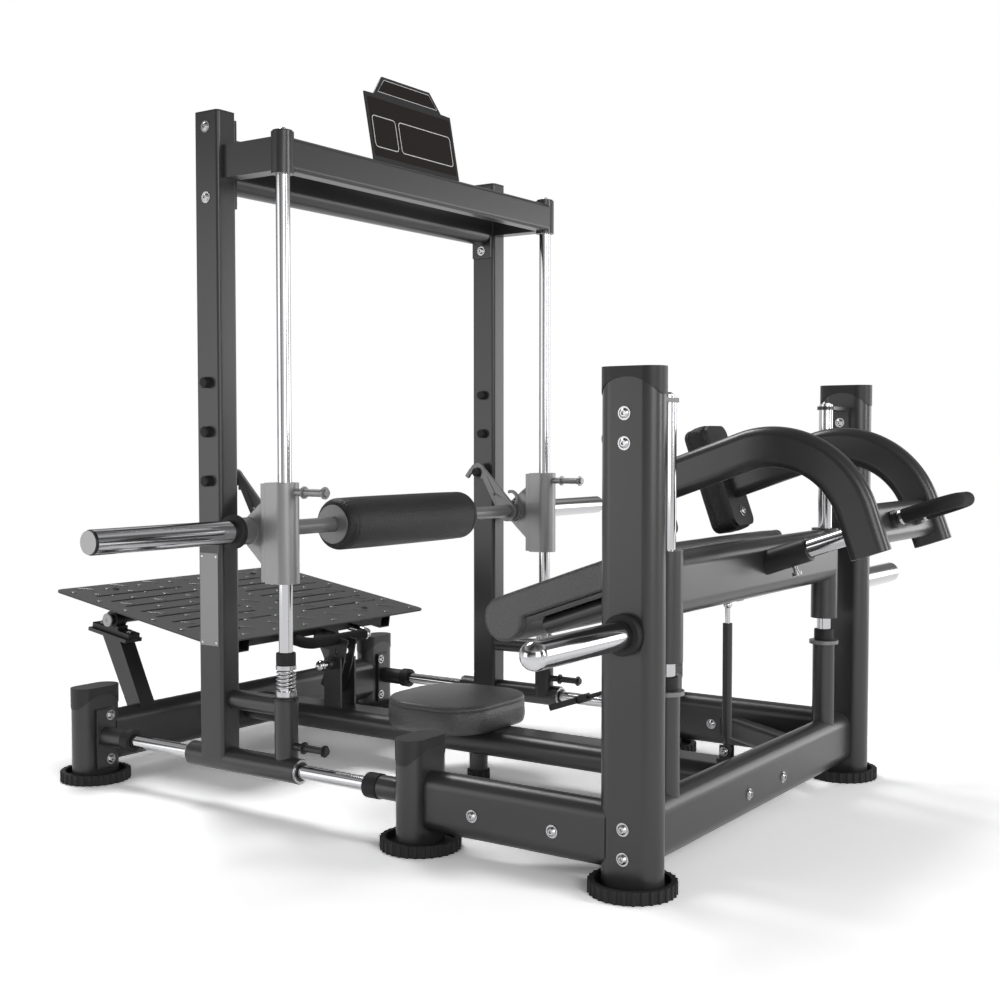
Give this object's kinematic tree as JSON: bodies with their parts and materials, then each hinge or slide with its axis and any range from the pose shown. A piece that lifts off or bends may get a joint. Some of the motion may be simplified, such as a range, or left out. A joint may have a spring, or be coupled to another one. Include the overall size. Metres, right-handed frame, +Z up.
{
  "type": "hip thrust machine",
  "caption": "Plate-loaded hip thrust machine: hooked bar with roller pad on a gantry rolling on floor rails, tilting footplate, low seat, height-adjustable back pad with shoulder arms.",
  "frame": {"origin": "on the floor, on the centre plane, at the middle of the overall length at rest", "axes": "+X runs along the machine from the footplate to the masts, +Y across it to the user's right as they sit facing the footplate, +Z up"},
  "size_m": [2.1724, 1.886, 1.6343],
  "materials": {
    "frame_paint": "satin charcoal powder coat",
    "dark_paint": "satin near-black powder coat",
    "silver_paint": "satin silver",
    "tread_paint": "satin grey powder coat",
    "grey_steel": "satin grey",
    "chrome_bar": "mirror chrome",
    "bright_screw": "bright zinc",
    "black_rubber": "matte",
    "black_plastic": "matte",
    "foam": "soft closed-cell foam",
    "grey_leather": "grained",
    "black_leather": "fine grain",
    "plate_face": "brushed"
  },
  "bodies": {
    "base": {"masts": "frame_paint", "short_posts": "frame_paint", "post_caps": "black_plastic", "feet": "black_rubber", "side_beams": "frame_paint", "cross_beams": "frame_paint", "spine": "frame_paint", "base_brackets": "frame_paint", "floor_rails": "chrome_bar", "rail_mounts": "frame_paint", "rail_buffers": "black_rubber", "mast_rods": "chrome_bar", "rod_fixings": "frame_paint", "rod_buffers": "black_rubber", "storage_horns": "chrome_bar", "horn_collars": "black_rubber", "gas_cylinder": "dark_paint", "plate_struts": "frame_paint", "pillow_blocks": "dark_paint", "seat_pad": "grey_leather", "base_bolts": "bright_screw"},
    "gantry": {"uprights": "frame_paint", "rail_sleeves": "frame_paint", "gantry_rings": "bright_screw", "top_frame": "frame_paint", "rear_top_beam": "frame_paint", "guide_rods": "chrome_bar", "buffer_springs": "bright_screw", "buffer_rubbers": "black_rubber", "catch_pegs": "black_rubber", "gantry_pegs": "dark_paint", "sign_panel": "dark_paint", "name_plate": "plate_face", "gantry_caps": "black_plastic", "gantry_bolts": "bright_screw"},
    "carriage": {"bearing_blocks": "silver_paint", "bar_brackets": "silver_paint"},
    "bar_turn": {"bar": "grey_steel", "weight_sleeves": "chrome_bar", "sleeve_collars": "black_rubber", "hooks": "grey_steel"},
    "roller": {"roller_pad": "black_leather", "roller_ends": "grey_steel"},
    "back_frame": {"back_carriage": "frame_paint", "guide_tube": "black_plastic", "pad_supports": "frame_paint", "back_pad": "grey_leather", "gas_rod": "chrome_bar"},
    "arm_slide": {"slide_tube": "chrome_bar", "arms": "frame_paint", "shoulder_plates": "black_plastic", "shoulder_pads": "black_leather", "arm_handle": "bright_screw", "arm_grip": "foam"},
    "foot_tilt": {"footplate": "tread_paint", "plate_frame": "dark_paint", "foot_handle": "bright_screw"},
    "arm_lock": {"arm_pin": "bright_screw"},
    "foot_lock": {"foot_pin": "chrome_bar"},
    "lever": {"release_lever": "black_plastic"}
  },
  "joints": [
    {"name": "gantry_roll", "type": "slide", "parent": "base", "child": "gantry", "axis": [1, 0, 0], "range_m": [-0.19, 0.18]},
    {"name": "carriage_lift", "type": "slide", "parent": "gantry", "child": "carriage", "axis": [0, 0, 1], "range_m": [0, 0.58]},
    {"name": "hook_turn", "type": "hinge", "parent": "carriage", "child": "bar_turn", "pos_m": [-0.2845, 0, 0.608], "axis": [0, 1, 0], "range_deg": [0, 60]},
    {"name": "roller_spin", "type": "hinge", "parent": "bar_turn", "child": "roller", "pos_m": [-0.2845, 0, 0.608], "axis": [0, 1, 0], "continuous": true},
    {"name": "back_height", "type": "slide", "parent": "base", "child": "back_frame", "axis": [0, 0, 1], "range_m": [0, 0.2]},
    {"name": "arm_reach", "type": "slide", "parent": "back_frame", "child": "arm_slide", "axis": [0.9426, 0, 0.3338], "range_m": [-0.08, 0.08]},
    {"name": "foot_angle", "type": "hinge", "parent": "base", "child": "foot_tilt", "pos_m": [-0.8975, 0, 0.357], "axis": [0, 1, 0], "range_deg": [-8, 4]},
    {"name": "arm_pin_push", "type": "slide", "parent": "back_frame", "child": "arm_lock", "axis": [-0.3338, 0, 0.9426], "range_m": [0, 0.01]},
    {"name": "foot_pin_push", "type": "slide", "parent": "base", "child": "foot_lock", "axis": [0, 1, 0], "range_m": [0, 0.0075]},
    {"name": "lever_lift", "type": "hinge", "parent": "base", "child": "lever", "pos_m": [0.3605, 0, 0.266], "axis": [0, 1, 0], "range_deg": [0, 10], "stiffness_Nm_per_rad": 6, "springref_deg": -8.59}
  ]
}
